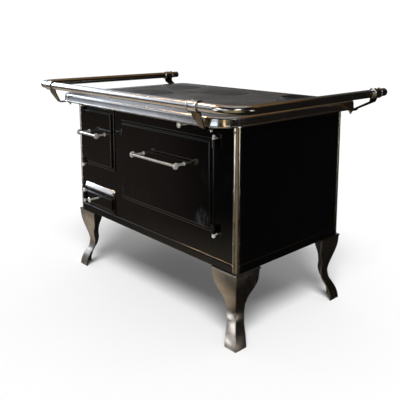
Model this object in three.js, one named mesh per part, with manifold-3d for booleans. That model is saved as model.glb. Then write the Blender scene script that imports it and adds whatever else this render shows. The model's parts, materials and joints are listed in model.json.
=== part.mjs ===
// A wood burning cook stove: an enamelled casing on four cabriole legs, a polished top frame that holds
// a cast iron cooktop with lift-out rings, a towel rail round three sides, a firebox, an ash pit and an oven.
// Millimetres, +Z up, the doors face -Y. Y is measured from the middle of the casing until the last line.
import * as THREE from "three";
import { mergeVertices } from "three/addons/utils/BufferGeometryUtils.js";
import Module from "manifold-3d";

const wasm = await Module();
wasm.setup();

// ---- Driving dimensions -------------------------------------------------------------------------------

const gap = 0.3; // clearance between pieces that rest on each other
const sheet = 3; // thickness of the casing sheets
const casing = { halfWidth: 490, halfDepth: 289, bottom: 266 };
const plinthHeight = 33;
const plinthWall = 22;
const plinthStep = 3; // the plinth and the posts stand this far proud of the panels
const postLeg = 19; // width of a corner post on each face

const topHeight = 798; // upper face of the cooktop
const frameHeight = 34;
const frame = { halfWidth: 520, front: -378, back: 350, frontRadius: 100, backRadius: 40 };
const rim = { side: 46, front: 94, back: 60 }; // width of the frame's flat top
const flange = 12; // thickness of that flat top
const fasciaWall = 5;
const plateThickness = 8;
const ledge = 9; // the step that carries the plate, a ring or a lid

const rail = { radius: 15, halfWidth: 607, front: -419, back: 380, height: 834, bend: 86, capLength: 4 };
const bracketPlaces = { frontLeft: -480, frontRight: 432, rear: 318 };

const doorBorder = 4; // thickness of a door's flat border
const doorRise = 8; // how far its middle stands out of the border
const doorOverlap = 17; // how far it laps over its opening
const ovenDoor = { left: -155, right: 384, bottom: 386, top: 711 };
const fireboxDoor = { left: -434, right: -208, bottom: 486, top: 738 };
const ashDoor = { left: -434, right: -214, bottom: 301, top: 376 };
const draught = { left: -441, right: -212, bottom: 379, top: 401 };
const damper = { x: 272, height: 749 };
const ovenHandle = { from: 0, to: 246, height: 601 };
const fireboxHandle = { from: -388, to: -260, height: 636 };
const ashKnob = { x: -328, height: 350 };
const handleFront = -344; // the middle of a handle's bar

const ovenBox = { left: -146, right: 375, bottom: 395, top: 702, back: 238, wall: 3 };
const rackHeight = 548;
const grateHeight = 455;
const grate = { left: -431, right: -196, front: -240, back: 120, thickness: 12 };
const firebox = { left: -437, right: -192, back: 124, top: 765 };
const brickBack = 160;
const smokeSill = 716; // the bricks beside and behind the fire stop here, so smoke runs over the oven
const ashPan = { left: -415, right: -233, front: -280, back: 110, bottom: 312.5, top: 362, wall: 2 };

// Burners from the largest radius inwards; the last radius is the lid's.
const burners = [
  { name: "burner_back_left", x: -312, y: 176, radii: [82, 50] },
  { name: "burner_front_left", x: -236, y: -72, radii: [96, 60] },
  { name: "burner_centre", x: -8, y: 150, radii: [106, 78, 50] },
];
const flue = { x: 368, y: 168, radius: 60, flangeRadius: 90, height: 14 };

const panelTop = topHeight - flange - gap;
const frontFace = plinthStep - casing.halfDepth; // outer face of the front panel
const doorBack = frontFace - gap;
const insideFront = frontFace + sheet;
const insideBack = -insideFront;
const insideLeft = plinthStep + sheet - casing.halfWidth;

// ---- Materials ----------------------------------------------------------------------------------------

function metalOf(color, roughness, metalness) {
  return new THREE.MeshStandardMaterial({ color, roughness, metalness });
}

const material = {
  enamel: metalOf(0x0b0b0c, 0.12, 0.0),
  polished: metalOf(0xc9c7c2, 0.12, 1.0),
  nickel: metalOf(0xa9a49c, 0.28, 1.0),
  castIron: metalOf(0x2f2f2e, 0.6, 0.6),
  sheetSteel: metalOf(0x55565a, 0.5, 0.8),
  firebrick: metalOf(0xb08a62, 0.95, 0.0),
};

// ---- Solids -------------------------------------------------------------------------------------------

function solidOf(geometry) {
  const bare = geometry.clone();
  bare.deleteAttribute("normal");
  bare.deleteAttribute("uv");
  const welded = mergeVertices(bare, 1e-4);
  return new wasm.Manifold(
    new wasm.Mesh({
      numProp: 3,
      vertProperties: welded.attributes.position.array,
      triVerts: new Uint32Array(welded.index.array),
    }),
  );
}

function geometryOf(solid) {
  const mesh = solid.getMesh();
  const geometry = new THREE.BufferGeometry();
  geometry.setAttribute("position", new THREE.BufferAttribute(mesh.vertProperties, 3));
  geometry.setIndex(new THREE.BufferAttribute(mesh.triVerts, 1));
  const faceted = geometry.toNonIndexed();
  faceted.computeVertexNormals();
  return faceted;
}

function unionOf(solids) {
  return solids.reduce((sum, solid) => sum.add(solid));
}

function box(left, right, front, back, bottom, top) {
  const geometry = new THREE.BoxGeometry(right - left, back - front, top - bottom);
  geometry.translate((left + right) / 2, (front + back) / 2, (bottom + top) / 2);
  return solidOf(geometry);
}

// A cylinder from one point to another.
function rod(radius, from, to, sides = 16) {
  const start = new THREE.Vector3(...from);
  const reach = new THREE.Vector3(...to).sub(start);
  const geometry = new THREE.CylinderGeometry(radius, radius, reach.length(), sides);
  geometry.translate(0, reach.length() / 2, 0);
  const turn = new THREE.Quaternion().setFromUnitVectors(
    new THREE.Vector3(0, 1, 0),
    reach.clone().normalize(),
  );
  geometry.applyQuaternion(turn);
  geometry.translate(...start);
  return solidOf(geometry);
}

// A turned piece: [radius, station] pairs from end to end along a direction, starting at a point.
function turned(profile, origin, direction, sides = 16) {
  const points = profile.map(([radius, station]) => new THREE.Vector2(radius, station));
  const geometry = new THREE.LatheGeometry(points, sides);
  const turn = new THREE.Quaternion().setFromUnitVectors(
    new THREE.Vector3(0, 1, 0),
    new THREE.Vector3(...direction),
  );
  geometry.applyQuaternion(turn);
  geometry.translate(...origin);
  return solidOf(geometry);
}

function ball(radius, centre) {
  const geometry = new THREE.SphereGeometry(radius, 8, 6);
  geometry.translate(...centre);
  return solidOf(geometry);
}

// An outline in X and Y, standing from one height to another.
function upright(shape, bottom, top, curveSegments = 5) {
  const geometry = new THREE.ExtrudeGeometry(shape, {
    depth: top - bottom,
    bevelEnabled: false,
    curveSegments,
  });
  geometry.translate(0, 0, bottom);
  return solidOf(geometry);
}

// An outline in X and Z, reaching from one Y to another.
function facing(shape, front, back, curveSegments = 8) {
  const geometry = new THREE.ExtrudeGeometry(shape, {
    depth: back - front,
    bevelEnabled: false,
    curveSegments,
  });
  geometry.rotateX(Math.PI / 2);
  geometry.translate(0, back, 0);
  return solidOf(geometry);
}

// An outline in Y and Z, reaching from one X to another.
function sideways(shape, left, right) {
  const geometry = new THREE.ExtrudeGeometry(shape, { depth: right - left, bevelEnabled: false });
  geometry.rotateX(Math.PI / 2);
  geometry.rotateZ(Math.PI / 2);
  geometry.translate(left, 0, 0);
  return solidOf(geometry);
}

// A rectangle with a radius at each corner, in the order lower left, lower right, upper right, upper left.
function roundedRectangle(left, right, low, high, radii) {
  const [lowerLeft, lowerRight, upperRight, upperLeft] = radii;
  const shape = new THREE.Shape();
  shape.moveTo(left + lowerLeft, low);
  shape.lineTo(right - lowerRight, low);
  shape.absarc(right - lowerRight, low + lowerRight, lowerRight, -Math.PI / 2, 0);
  shape.lineTo(right, high - upperRight);
  shape.absarc(right - upperRight, high - upperRight, upperRight, 0, Math.PI / 2);
  shape.lineTo(left + upperLeft, high);
  shape.absarc(left + upperLeft, high - upperLeft, upperLeft, Math.PI / 2, Math.PI);
  shape.lineTo(left, low + lowerLeft);
  shape.absarc(left + lowerLeft, low + lowerLeft, lowerLeft, Math.PI, Math.PI * 1.5);
  return shape;
}

// The outline of a flat bar, of a given thickness, that is bent along a line of points.
function bentBar(points, thickness) {
  const line = points.map(([along, up]) => new THREE.Vector2(along, up));
  const directions = line.slice(1).map((point, i) => point.clone().sub(line[i]).normalize());
  const sideOf = (offset) =>
    line.map((point, i) => {
      const before = directions[Math.max(i - 1, 0)];
      const after = directions[Math.min(i, directions.length - 1)];
      const middle = before.clone().add(after).normalize();
      const normal = new THREE.Vector2(-middle.y, middle.x);
      return point.clone().addScaledVector(normal, offset / middle.dot(after));
    });
  return new THREE.Shape([...sideOf(-thickness / 2), ...sideOf(thickness / 2).reverse()]);
}

// ---- The assembly -------------------------------------------------------------------------------------

const stove = new THREE.Group();

function addPiece(name, solid, surface, group = stove) {
  const mesh = new THREE.Mesh(geometryOf(solid), surface);
  mesh.name = name;
  group.add(mesh);
  return mesh;
}

// ---- Casing -------------------------------------------------------------------------------------------

const postInset = postLeg + gap;

// A ring round the foot of the casing, which the legs are bolted to. The posts stand in its corners.
function plinth() {
  const top = casing.bottom + plinthHeight;
  const { halfWidth, halfDepth, bottom } = casing;
  const outer = box(-halfWidth, halfWidth, -halfDepth, halfDepth, bottom, top);
  const insideX = halfWidth - plinthWall;
  const insideY = halfDepth - plinthWall;
  const inner = box(-insideX, insideX, -insideY, insideY, bottom - 1, top + 1);
  const corner = box(-postInset, postInset, -postInset, postInset, bottom - 1, top + 1);
  const sides = [-1, 1];
  const corners = sides.flatMap((x) => sides.map((y) => corner.translate(x * halfWidth, y * halfDepth, 0)));
  return outer.subtract(inner).subtract(unionOf(corners));
}

const basePanelTop = casing.bottom + 7;

function basePanel() {
  const reachX = casing.halfWidth - plinthWall - gap;
  const reachY = casing.halfDepth - plinthWall - gap;
  return box(-reachX, reachX, -reachY, reachY, basePanelTop - sheet, basePanelTop);
}

const panelBottom = casing.bottom + plinthHeight + gap;

function sidePanel(side) {
  const reach = casing.halfDepth - postInset;
  const outer = casing.halfWidth - plinthStep;
  const panel = box(outer - sheet, outer, -reach, reach, panelBottom, panelTop);
  return side > 0 ? panel : panel.mirror([1, 0, 0]);
}

function backPanel() {
  const reach = casing.halfWidth - postInset;
  return box(-reach, reach, insideBack, insideBack + sheet, panelBottom, panelTop);
}

function openingOf(door, overlap = doorOverlap) {
  const { left, right, bottom, top } = door;
  const radius = 4;
  const outline = roundedRectangle(
    left + overlap, right - overlap, bottom + overlap, top - overlap,
    [radius, radius, radius, radius],
  );
  return facing(outline, frontFace - 5, insideFront + 5, 2);
}

const airSlot = { left: draught.left + 12, width: 38, bottom: draught.bottom + 6, height: 10 };

function frontPanel() {
  const reach = casing.halfWidth - postInset;
  const panel = box(-reach, reach, frontFace, insideFront, panelBottom, panelTop);
  const airHole = box(
    airSlot.left, airSlot.left + airSlot.width, frontFace - 5, insideFront + 5,
    airSlot.bottom, airSlot.bottom + airSlot.height,
  );
  const { x, height } = damper;
  const damperHole = rod(5, [x, frontFace - 5, height], [x, insideFront + 5, height]);
  return panel
    .subtract(openingOf(fireboxDoor))
    .subtract(openingOf(ashDoor, 10))
    .subtract(openingOf(ovenDoor))
    .subtract(airHole)
    .subtract(damperHole);
}

// A corner post is an angle bar with a round outer corner.
function cornerPost(sideX, sideY) {
  const outerRadius = 14;
  const wall = 3;
  const outline = new THREE.Shape();
  outline.moveTo(postLeg, 0);
  outline.lineTo(postLeg, wall);
  outline.lineTo(outerRadius, wall);
  outline.absarc(outerRadius, outerRadius, outerRadius - wall, -Math.PI / 2, Math.PI, true);
  outline.lineTo(wall, postLeg);
  outline.lineTo(0, postLeg);
  outline.lineTo(0, outerRadius);
  outline.absarc(outerRadius, outerRadius, outerRadius, Math.PI, Math.PI * 1.5);
  const post = upright(outline, casing.bottom, panelTop, 5).translate(
    -casing.halfWidth, -casing.halfDepth, 0,
  );
  const mirroredX = sideX > 0 ? post.mirror([1, 0, 0]) : post;
  return sideY > 0 ? mirroredX.mirror([0, 1, 0]) : mirroredX;
}

addPiece("plinth", plinth(), material.enamel);
addPiece("base_panel", basePanel(), material.enamel);
addPiece("front_panel", frontPanel(), material.enamel);
addPiece("back_panel", backPanel(), material.enamel);
for (const [side, word] of [[-1, "left"], [1, "right"]]) {
  addPiece(`side_panel_${word}`, sidePanel(side), material.enamel);
  addPiece(`corner_post_front_${word}`, cornerPost(side, -1), material.nickel);
  addPiece(`corner_post_back_${word}`, cornerPost(side, 1), material.nickel);
}

// ---- Legs ---------------------------------------------------------------------------------------------

// Each row is a height, how far the corner edge stands outside the casing's corner, and a flange's width.
const legStations = [
  [262, 4, 116],
  [240, 3, 114],
  [217, 0, 108],
  [192, -6, 90],
  [168, -13, 66],
  [142, -20, 50],
  [116, -24, 45],
  [88, -20, 43],
  [66, -10, 45],
  [46, -1, 49],
  [22, 6, 52],
  [0, 9, 54],
];
const legTop = casing.bottom - gap;
const legWall = 6;
const legPlate = 4;

// A cabriole leg is an angle casting: two flanges at a right angle, each curved outwards at knee and foot.
function leg(sideX, sideY) {
  const corner = new THREE.SplineCurve(legStations.map(([height, out]) => new THREE.Vector2(-out, height)));
  const edge = new THREE.SplineCurve(
    legStations.map(([height, out, width]) => new THREE.Vector2(width - out, height)),
  );
  const steps = 11;
  const cornerLine = corner.getPoints(steps);
  const outline = new THREE.Shape([...edge.getPoints(steps), ...cornerLine.slice().reverse()]);
  const inner = cornerLine.map((point) => new THREE.Vector2(point.x + legWall, point.y));
  const curvedWall = new THREE.Shape([...inner, ...cornerLine.slice().reverse()]);
  const frontFlange = facing(outline, -30, 70).intersect(sideways(curvedWall, -30, 150));
  const sideFlange = frontFlange.mirror([1, -1, 0]);
  const reach = 116;
  const tab = 14;
  const plate = new THREE.Shape([
    new THREE.Vector2(-5, -5),
    new THREE.Vector2(reach, -5),
    new THREE.Vector2(reach, tab),
    new THREE.Vector2(tab, reach),
    new THREE.Vector2(-5, reach),
  ]);
  const casting = unionOf([frontFlange, sideFlange, upright(plate, legTop - legPlate, legTop)]);
  const placed = casting.translate(-casing.halfWidth, -casing.halfDepth, 0);
  const mirroredX = sideX > 0 ? placed.mirror([1, 0, 0]) : placed;
  return sideY > 0 ? mirroredX.mirror([0, 1, 0]) : mirroredX;
}

for (const [sideX, wordX] of [[-1, "left"], [1, "right"]]) {
  for (const [sideY, wordY] of [[-1, "front"], [1, "back"]]) {
    addPiece(`leg_${wordY}_${wordX}`, leg(sideX, sideY), material.nickel);
  }
}

// ---- Top frame and cooktop ----------------------------------------------------------------------------

function frameOutline(inset) {
  const { halfWidth, front, back, frontRadius, backRadius } = frame;
  const frontCorner = frontRadius - inset;
  const backCorner = backRadius - inset;
  return roundedRectangle(
    inset - halfWidth, halfWidth - inset, front + inset, back - inset,
    [frontCorner, frontCorner, backCorner, backCorner],
  );
}

function plateOutline(inset) {
  const halfWidth = frame.halfWidth - rim.side - inset;
  const radius = 30;
  return roundedRectangle(
    -halfWidth, halfWidth, frame.front + rim.front + inset, frame.back - rim.back - inset,
    [radius, radius, radius, radius],
  );
}

// A polished frame: a fascia all round, a flat top, and a step inside it that the plate lies on.
function topFrame() {
  const bottom = topHeight - frameHeight;
  const edge = 4;
  const body = upright(frameOutline(0), bottom, topHeight - edge);
  const crown = upright(frameOutline(edge * 0.6), topHeight - edge, topHeight);
  const hollow = upright(frameOutline(fasciaWall), bottom - 1, topHeight - flange);
  const seat = upright(plateOutline(-gap), topHeight - plateThickness, topHeight + 1);
  const through = upright(plateOutline(ledge), topHeight - flange - 1, topHeight);
  return body.add(crown).subtract(hollow).subtract(seat).subtract(through);
}

const discSides = 24;

function stepHole(x, y, radius) {
  const step = topHeight - plateThickness / 2;
  const upper = rod(radius, [x, y, step], [x, y, topHeight + 1], discSides);
  const lower = rod(radius - ledge, [x, y, topHeight - plateThickness - 1], [x, y, topHeight], discSides);
  return upper.add(lower);
}

function cooktopPlate() {
  const bottom = topHeight - plateThickness + gap;
  const plate = upright(plateOutline(gap), bottom, topHeight);
  const holes = burners.map(({ x, y, radii }) => stepHole(x, y, radii[0]));
  const reach = flue.radius + 2;
  const corner = 14;
  const opening = roundedRectangle(-reach, reach, -reach, reach, [corner, corner, corner, corner]);
  const flueHole = upright(opening, bottom - 1, topHeight + 1, 2).translate(flue.x, flue.y, 0);
  return plate.subtract(unionOf([...holes, flueHole]));
}

// A stepped disc that hangs by its upper edge in the hole around it.
function steppedDisc(radius) {
  const clear = 0.8;
  const step = topHeight - plateThickness / 2 + gap;
  const upper = rod(radius - clear, [0, 0, step], [0, 0, topHeight], discSides);
  const underside = topHeight - plateThickness + gap;
  const lower = rod(radius - ledge - clear, [0, 0, underside], [0, 0, topHeight], discSides);
  return upper.add(lower);
}

// A slot in the lid takes the lifter that carries it off.
function lidSlot(radius) {
  const length = 24;
  const width = 8;
  const centre = radius - ledge - 8;
  return box(centre - length, centre, -width / 2, width / 2, topHeight - plateThickness / 2, topHeight + 1);
}

for (const { name, x, y, radii } of burners) {
  const group = new THREE.Group();
  group.position.set(x, y, 0);
  stove.add(group);
  radii.forEach((radius, i) => {
    const isLid = i === radii.length - 1;
    const disc = steppedDisc(radius);
    const piece = isLid ? disc.subtract(lidSlot(radius)) : disc.subtract(stepHole(0, 0, radii[i + 1]));
    const title = isLid ? "lid" : ["outer_ring", "inner_ring"][i];
    addPiece(`${name}_${title}`, piece, material.castIron, group);
  });
}

// A low spigot over the smoke outlet, which a stove pipe slips over.
function flueCollar() {
  const base = topHeight + gap;
  const wall = 5;
  const ringThickness = 5;
  const profile = [
    [flue.radius, 0],
    [flue.flangeRadius, 0],
    [flue.flangeRadius, ringThickness],
    [flue.radius + wall, ringThickness],
    [flue.radius + wall, flue.height],
    [flue.radius, flue.height],
    [flue.radius, 0],
  ];
  return turned(profile, [flue.x, flue.y, base], [0, 0, 1], discSides);
}

addPiece("top_frame", topFrame(), material.polished);
addPiece("cooktop_plate", cooktopPlate(), material.castIron);
addPiece("flue_collar", flueCollar(), material.castIron);

// ---- Towel rail ---------------------------------------------------------------------------------------

// A path through given stations, so that a tube swept along it has sections at those stations only.
class StationPath extends THREE.Curve {
  constructor(stations) {
    super();
    this.stations = stations;
  }

  getPoint(t, target = new THREE.Vector3()) {
    const last = this.stations.length - 1;
    const place = Math.min(Math.max(t, 0), 1) * last;
    const before = Math.min(Math.floor(place), last - 1);
    return target.lerpVectors(this.stations[before], this.stations[before + 1], place - before);
  }

  getUtoTmapping(u) {
    return u;
  }
}

function railStations() {
  const { halfWidth, front, back, height, bend } = rail;
  const stepsInBend = 6;
  const stations = [new THREE.Vector3(-halfWidth, back, height)];
  for (const side of [-1, 1]) {
    for (let i = 0; i <= stepsInBend; i += 1) {
      const turn = (Math.PI / 2) * (i / stepsInBend) + (side < 0 ? Math.PI : Math.PI * 1.5);
      const centre = new THREE.Vector3(side * (halfWidth - bend), front + bend, height);
      stations.push(centre.add(new THREE.Vector3(Math.cos(turn) * bend, Math.sin(turn) * bend, 0)));
    }
  }
  stations.push(new THREE.Vector3(halfWidth, back, height));
  return stations;
}

function circlePoints(radius, sides) {
  return Array.from({ length: sides }, (_, i) => {
    const turn = (i / sides) * Math.PI * 2;
    return new THREE.Vector2(Math.cos(turn) * radius, Math.sin(turn) * radius);
  });
}

function towelRail() {
  const wall = 1.5;
  const sides = 12;
  const section = new THREE.Shape(circlePoints(rail.radius, sides));
  section.holes.push(new THREE.Path(circlePoints(rail.radius - wall, sides)));
  const stations = railStations();
  const extrudePath = new StationPath(stations);
  return solidOf(new THREE.ExtrudeGeometry(section, { steps: stations.length - 1, extrudePath }));
}

function railCap(side) {
  const { radius, halfWidth, back, height, capLength } = rail;
  const profile = [[0, 0], [radius, 0], [radius, capLength / 2], [radius * 0.7, capLength], [0, capLength]];
  return turned(profile, [side * halfWidth, back + gap, height], [0, 1, 0], 12);
}

const tabTop = topHeight - frameHeight - gap;
const strapThickness = 5;
const clampWidth = 26;
const clampRadius = rail.radius + 5;

// A bracket is a clamp round the tube and a strap, wide at the clamp, that ends in a tab under the frame.
// It is made for a rail along X at the origin, with the tab towards +Y.
function bracket(reach, tabLength, boltPlace) {
  const tabHeight = tabTop - strapThickness / 2 - rail.height;
  const foldBeforeEdge = 6;
  const line = [
    [reach + tabLength, tabHeight],
    [reach - foldBeforeEdge, tabHeight],
    [10, -34],
    [4, -16],
  ];
  const half = 23;
  const tabHalf = 11;
  const strap = sideways(bentBar(line, strapThickness), -half, half);
  const taper = new THREE.Shape([
    new THREE.Vector2(-tabHalf, tabHeight - strapThickness),
    new THREE.Vector2(tabHalf, tabHeight - strapThickness),
    new THREE.Vector2(half, -20),
    new THREE.Vector2(half, 0),
    new THREE.Vector2(-half, 0),
    new THREE.Vector2(-half, -20),
  ]);
  const clampFrom = [-clampWidth / 2, 0, 0];
  const clampTo = [clampWidth / 2, 0, 0];
  const clamp = rod(clampRadius, clampFrom, clampTo, 12);
  const bore = rod(rail.radius + 0.8, [-half - 1, 0, 0], [half + 1, 0, 0], 16);
  const boltHole = rod(4.6, [0, boltPlace, tabHeight - 9], [0, boltPlace, tabHeight + 9], 12);
  return strap
    .intersect(facing(taper, -50, 200))
    .add(clamp)
    .subtract(bore)
    .subtract(boltHole);
}

// A stud hangs from the frame's flat top, and a nut on it holds the bracket's tab.
function bracketBolt() {
  const stud = 4;
  const nut = 8;
  const nutTop = tabTop - strapThickness - gap;
  const nutBottom = nutTop - 7;
  const end = nutBottom - 6;
  const top = topHeight - flange - gap;
  const profile = [
    [0, end],
    [stud, end],
    [stud, nutBottom],
    [nut, nutBottom],
    [nut, nutTop],
    [stud, nutTop],
    [stud, top],
    [0, top],
  ];
  return turned(profile, [0, 0, 0], [0, 0, 1], 12);
}

const frontBracket = { y: rail.front, turn: 0, reach: frame.front - rail.front, tab: 56 };
const rearBracket = { y: bracketPlaces.rear, reach: rail.halfWidth - frame.halfWidth, tab: 24, bolt: 100 };
const bracketMounts = [
  { ...frontBracket, name: "front_left", x: bracketPlaces.frontLeft, bolt: 86 },
  { ...frontBracket, name: "front_right", x: bracketPlaces.frontRight, bolt: 70 },
  { ...rearBracket, name: "back_left", x: -rail.halfWidth, turn: -90 },
  { ...rearBracket, name: "back_right", x: rail.halfWidth, turn: 90 },
];

addPiece("towel_rail", towelRail(), material.polished);
addPiece("rail_cap_left", railCap(-1), material.polished);
addPiece("rail_cap_right", railCap(1), material.polished);
for (const { name, x, y, turn, reach, tab, bolt } of bracketMounts) {
  const place = (solid) => solid.rotate([0, 0, turn]).translate(x, y, 0);
  const strap = bracket(reach, tab, bolt).translate(0, 0, rail.height);
  addPiece(`rail_bracket_${name}`, place(strap), material.polished);
  addPiece(`rail_bolt_${name}`, place(bracketBolt().translate(0, bolt, 0)), material.sheetSteel);
}

// ---- Firebox and ash pit ------------------------------------------------------------------------------

const brickBottom = grateHeight + sheet + gap;

function fireboxFloor() {
  const floor = box(
    insideLeft + gap, ovenBox.left - gap, insideFront + gap, insideBack - gap,
    grateHeight, grateHeight + sheet,
  );
  const rest = 6;
  const hole = box(
    grate.left + rest, grate.right - rest, grate.front + rest, grate.back - rest,
    grateHeight - 1, grateHeight + sheet + 1,
  );
  return floor.subtract(hole);
}

function fireGrate() {
  const bottom = brickBottom;
  const top = bottom + grate.thickness;
  const plate = box(grate.left, grate.right, grate.front, grate.back, bottom, top);
  const pitch = 26;
  const slotWidth = 13;
  const border = 20;
  const middle = (grate.front + grate.back) / 2;
  const crossBar = 6; // half the width of the bar between the two rows of slots
  const slots = [];
  for (let x = grate.left + border; x + slotWidth < grate.right - border / 2; x += pitch) {
    slots.push(box(x, x + slotWidth, grate.front + border, middle - crossBar, bottom - 1, top + 1));
    slots.push(box(x, x + slotWidth, middle + crossBar, grate.back - border, bottom - 1, top + 1));
  }
  return plate.subtract(unionOf(slots));
}

addPiece("firebox_floor", fireboxFloor(), material.sheetSteel);
addPiece("fire_grate", fireGrate(), material.castIron);
addPiece(
  "firebrick_left",
  box(insideLeft + gap, firebox.left, insideFront + gap, brickBack, brickBottom, firebox.top),
  material.firebrick,
);
addPiece(
  "firebrick_right",
  box(firebox.right, ovenBox.left - gap, insideFront + gap, brickBack, brickBottom, smokeSill),
  material.firebrick,
);
addPiece(
  "firebrick_back",
  box(firebox.left + gap, firebox.right - gap, firebox.back, brickBack, brickBottom, smokeSill),
  material.firebrick,
);

// A bent sheet that the ash pan slides on.
function ashShelf() {
  const left = ashDoor.left + 4;
  const right = ashDoor.right - 2;
  const top = ashPan.bottom - gap;
  const front = plinthWall + gap - casing.halfDepth;
  const wall = 2;
  const outer = box(left, right, front, firebox.back, basePanelTop + gap, top);
  return outer.subtract(
    box(left + wall, right - wall, front - 1, firebox.back + 1, basePanelTop, top - wall),
  );
}

function ashPanTray() {
  const { left, right, front, back, bottom, top, wall } = ashPan;
  const outer = box(left, right, front, back, bottom, top);
  return outer.subtract(box(left + wall, right - wall, front + wall, back - wall, bottom + wall, top + 1));
}

addPiece("ash_shelf", ashShelf(), material.sheetSteel);
addPiece("ash_pan", ashPanTray(), material.sheetSteel);

// ---- Oven ---------------------------------------------------------------------------------------------

const rackWire = 3;

function ovenLiner() {
  const { left, right, bottom, top, back, wall } = ovenBox;
  const front = insideFront + gap;
  const outer = box(left, right, front, back, bottom, top);
  const inner = box(left + wall, right - wall, front - 1, back - wall, bottom + wall, top - wall);
  const runnerDepth = 14;
  const runner = (from, to) => box(from, to, front + 10, back - 10, rackHeight - 4, rackHeight);
  return outer
    .subtract(inner)
    .add(runner(left + wall - 1, left + wall + runnerDepth))
    .add(runner(right - wall - runnerDepth, right - wall + 1));
}

function ovenRack() {
  const left = ovenBox.left + 8;
  const right = ovenBox.right - 8;
  const front = insideFront + 22;
  const back = ovenBox.back - 12;
  const height = rackHeight + gap + rackWire;
  const wires = [
    rod(rackWire, [left, front, height], [right, front, height], 6),
    rod(rackWire, [left, back, height], [right, back, height], 6),
  ];
  const count = 11;
  for (let i = 0; i <= count; i += 1) {
    const x = left + rackWire + ((right - left - 2 * rackWire) * i) / count;
    wires.push(rod(rackWire, [x, front, height], [x, back, height], 6));
  }
  return unionOf(wires);
}

addPiece("oven_liner", ovenLiner(), material.sheetSteel);
addPiece("oven_rack", ovenRack(), material.polished);

// ---- Doors --------------------------------------------------------------------------------------------

const hingeStandOff = 8; // from the door's edge to the hinge line
const hingeFront = doorBack - 12;
const barrelRadius = 7;
const pinRadius = 3;
const lugThickness = 5;
const raised = { inset: 12, radius: 12, bevel: 6 }; // the middle of a door, which stands out of its border

function doorFace(door, inset, radius) {
  const { left, right, bottom, top } = door;
  return roundedRectangle(left + inset, right - inset, bottom + inset, top - inset, [
    radius, radius, radius, radius,
  ]);
}

// A pressed shell: a flat border, a middle that stands out with a soft edge, and a hollow behind it.
function doorShell(door, hollowInset, hingeX, barrels) {
  const borderFront = doorBack - doorBorder;
  const border = facing(doorFace(door, 0, 5), borderFront, doorBack, 2);
  const pressed = new THREE.ExtrudeGeometry(doorFace(door, raised.inset, raised.radius), {
    depth: doorRise - raised.bevel + 1,
    bevelThickness: raised.bevel,
    bevelSize: raised.bevel,
    bevelOffset: -raised.bevel,
    bevelSegments: 2,
    curveSegments: 3,
  });
  pressed.rotateX(Math.PI / 2);
  pressed.translate(0, borderFront + 1, 0);
  const inFront = box(-600, 600, borderFront - 50, borderFront + 1, 0, 900);
  const middle = solidOf(pressed).intersect(inFront);
  const hollow = facing(
    doorFace(door, hollowInset, 6), borderFront - doorRise + 3, doorBack + 1, 2,
  );
  const shell = border.add(middle).subtract(hollow);
  const onDoor = hingeX > door.right ? door.right - 5 : door.left + 5;
  const withBarrels = barrels.reduce((sum, [low, high]) => {
    const barrel = rod(barrelRadius, [hingeX, hingeFront, low], [hingeX, hingeFront, high], 10);
    const web = box(
      Math.min(hingeX, onDoor), Math.max(hingeX, onDoor),
      hingeFront - 2, doorBack - 1, low, high,
    );
    return sum.add(barrel).add(web);
  }, shell);
  const holeBottom = [hingeX, hingeFront, door.bottom - 9];
  const holeTop = [hingeX, hingeFront, door.top + 9];
  return withBarrels.subtract(rod(pinRadius + 0.4, holeBottom, holeTop, 10));
}

// A sheet tray on the door's back that closes the opening behind it.
function doorLiner(door, depth) {
  const { left, right, bottom, top } = door;
  const inset = doorOverlap + 2;
  const front = doorBack - doorBorder - doorRise + 3 + gap;
  const back = insideFront + depth;
  const wall = 2;
  const outer = box(left + inset, right - inset, front, back, bottom + inset, top - inset);
  const inner = box(
    left + inset + wall, right - inset - wall, front - 1, back - wall,
    bottom + inset + wall, top - inset - wall,
  );
  return outer.subtract(inner);
}

const doorFaceFront = doorBack - doorBorder - doorRise;

// A bar with a disc at each end, on two posts.
function barHandle({ from, to, height }) {
  const bar = 5.5;
  const disc = 13;
  const thick = 8;
  const length = to - from + 2 * thick;
  const profile = [
    [0, 0],
    [disc - 4, 0],
    [disc, 2],
    [disc, thick - 2],
    [bar, thick],
    [bar, length - thick],
    [disc, length - thick + 2],
    [disc, length - 2],
    [disc - 4, length],
    [0, length],
  ];
  const turnedBar = turned(profile, [from - thick, handleFront, height], [1, 0, 0], 10);
  const posts = [from + 5, to - 5].map((x) =>
    rod(4.5, [x, handleFront, height], [x, doorFaceFront - gap, height], 8),
  );
  return unionOf([turnedBar, ...posts]);
}

function pullKnob(x, front, root, height) {
  const length = root - front;
  const discRadius = 11;
  const profile = [
    [0, 0],
    [discRadius - 3, 0],
    [discRadius, 2.5],
    [discRadius - 1, 6],
    [5, 9],
    [4, length],
    [0, length],
  ];
  return turned(profile, [x, front, height], [0, 1, 0], 12);
}

// A lug on the front panel with a pin through the door's barrel and a ball over the pin's end.
function hingeLug(x, height, up, pinLength) {
  const far = height + up * lugThickness;
  const low = Math.min(height, far);
  const high = Math.max(height, far);
  const arm = box(x - barrelRadius, x + barrelRadius, hingeFront, frontFace - gap, low, high);
  const end = rod(barrelRadius, [x, hingeFront, low], [x, hingeFront, high], 10);
  const pin = rod(pinRadius, [x, hingeFront, far], [x, hingeFront, height - up * pinLength], 8);
  return unionOf([arm, end, pin, ball(6.5, [x, hingeFront, far + up * 4])]);
}

function addHinges(name, x, low, high, pinLength) {
  addPiece(`${name}_hinge_lower`, hingeLug(x, low, -1, pinLength), material.polished);
  addPiece(`${name}_hinge_upper`, hingeLug(x, high, 1, pinLength), material.polished);
}

const barrelLength = 30;
const barrelGap = 1;

function endBarrels(door) {
  return [
    [door.bottom + barrelGap, door.bottom + barrelLength],
    [door.top - barrelLength, door.top - barrelGap],
  ];
}

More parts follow.
